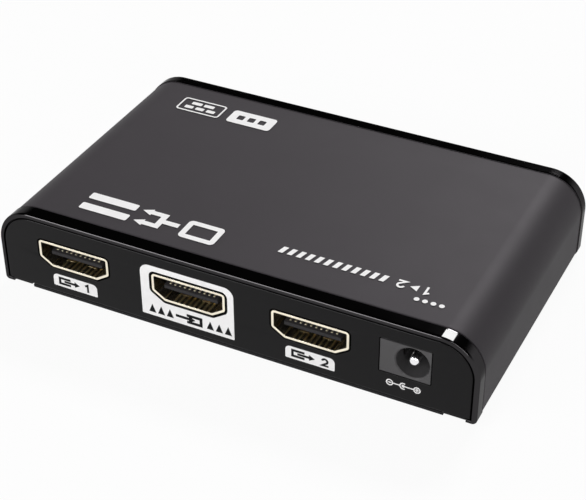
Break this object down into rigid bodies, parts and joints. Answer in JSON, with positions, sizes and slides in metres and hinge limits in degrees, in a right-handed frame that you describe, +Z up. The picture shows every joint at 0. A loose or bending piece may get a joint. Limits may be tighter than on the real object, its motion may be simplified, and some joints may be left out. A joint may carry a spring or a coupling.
{
  "type": "hdmi splitter",
  "caption": "Low arched black case that passes one video input on to two outputs, with its ports, power jack and indicator window along the front.",
  "frame": {"origin": "on the surface the feet stand on, under the middle of the case", "axes": "+X to the right seen from the connectors, +Y from the connectors to the back, +Z up"},
  "size_m": [0.0964, 0.0584, 0.0177],
  "materials": {
    "cover_plastic": "satin black, fine moulded grain",
    "bezel_plastic": "polished black",
    "panel_plastic": "semi-matt black",
    "base_plastic": "textured black",
    "lens_plastic": "milky white light pipe",
    "foot_rubber": "matt",
    "screw_steel": "plated",
    "board_laminate": "solder mask over glass laminate",
    "shell_plating": "gold plated sheet",
    "spring_plating": "gold plated spring sheet",
    "contact_gold": "gold plated",
    "insulator_plastic": "moulded, dark",
    "jack_plastic": "moulded, dark grey",
    "pin_nickel": "nickel plated",
    "chip_plastic": "moulded",
    "can_steel": "drawn can",
    "ferrite": "sintered",
    "can_aluminium": "drawn can",
    "passive_body": "ceramic",
    "led_body": "clear resin on white"
  },
  "bodies": {
    "case": {"top_cover": "cover_plastic", "base_plate": "base_plastic", "front_bezel": "bezel_plastic", "rear_bezel": "bezel_plastic", "front_panel": "panel_plastic", "rear_panel": "panel_plastic", "indicator_lens": "lens_plastic", "case_screws": "screw_steel", "rubber_feet": "foot_rubber", "circuit_board": "board_laminate", "jack_housing": "jack_plastic", "jack_pin": "pin_nickel", "jack_spring_terminal": "spring_plating", "jack_switch_contact": "spring_plating", "splitter_chip": "chip_plastic", "memory_chip": "chip_plastic", "crystal": "can_steel", "regulator": "chip_plastic", "inductor": "ferrite", "bulk_capacitors": "can_aluminium", "surge_arrays": "chip_plastic", "chip_capacitors": "passive_body", "chip_resistors": "chip_plastic", "indicator_led": "led_body", "output_1_shell": "shell_plating", "output_1_insulator": "insulator_plastic", "output_1_contacts": "contact_gold", "input_shell": "shell_plating", "input_insulator": "insulator_plastic", "input_contacts": "contact_gold", "output_2_shell": "shell_plating", "output_2_insulator": "insulator_plastic", "output_2_contacts": "contact_gold"},
    "jack_spring": {"jack_spring": "spring_plating"},
    "output_1_upper_springs": {"output_1_upper_springs": "spring_plating"},
    "output_1_lower_springs": {"output_1_lower_springs": "spring_plating"},
    "input_upper_springs": {"input_upper_springs": "spring_plating"},
    "input_lower_springs": {"input_lower_springs": "spring_plating"},
    "output_2_upper_springs": {"output_2_upper_springs": "spring_plating"},
    "output_2_lower_springs": {"output_2_lower_springs": "spring_plating"}
  },
  "joints": [
    {"name": "output_1_upper_springs_bend", "type": "hinge", "parent": "case", "child": "output_1_upper_springs", "pos_m": [-0.03175, -0.02661, 0.01243], "axis": [1, 0, 0], "range_deg": [0, 6], "stiffness_Nm_per_rad": 0.1},
    {"name": "output_1_lower_springs_bend", "type": "hinge", "parent": "case", "child": "output_1_lower_springs", "pos_m": [-0.03175, -0.02661, 0.00768], "axis": [-1, 0, 0], "range_deg": [0, 6], "stiffness_Nm_per_rad": 0.1},
    {"name": "input_upper_springs_bend", "type": "hinge", "parent": "case", "child": "input_upper_springs", "pos_m": [-0.00747, -0.02661, 0.01243], "axis": [1, 0, 0], "range_deg": [0, 6], "stiffness_Nm_per_rad": 0.1},
    {"name": "input_lower_springs_bend", "type": "hinge", "parent": "case", "child": "input_lower_springs", "pos_m": [-0.00747, -0.02661, 0.00768], "axis": [-1, 0, 0], "range_deg": [0, 6], "stiffness_Nm_per_rad": 0.1},
    {"name": "output_2_upper_springs_bend", "type": "hinge", "parent": "case", "child": "output_2_upper_springs", "pos_m": [0.0168, -0.02661, 0.01243], "axis": [1, 0, 0], "range_deg": [0, 6], "stiffness_Nm_per_rad": 0.1},
    {"name": "output_2_lower_springs_bend", "type": "hinge", "parent": "case", "child": "output_2_lower_springs", "pos_m": [0.0168, -0.02661, 0.00768], "axis": [-1, 0, 0], "range_deg": [0, 6], "stiffness_Nm_per_rad": 0.1},
    {"name": "jack_spring_bend", "type": "hinge", "parent": "case", "child": "jack_spring", "pos_m": [0.0325, -0.01795, 0.01025], "axis": [0, 0, -1], "range_deg": [0, 4], "stiffness_Nm_per_rad": 0.3}
  ]
}
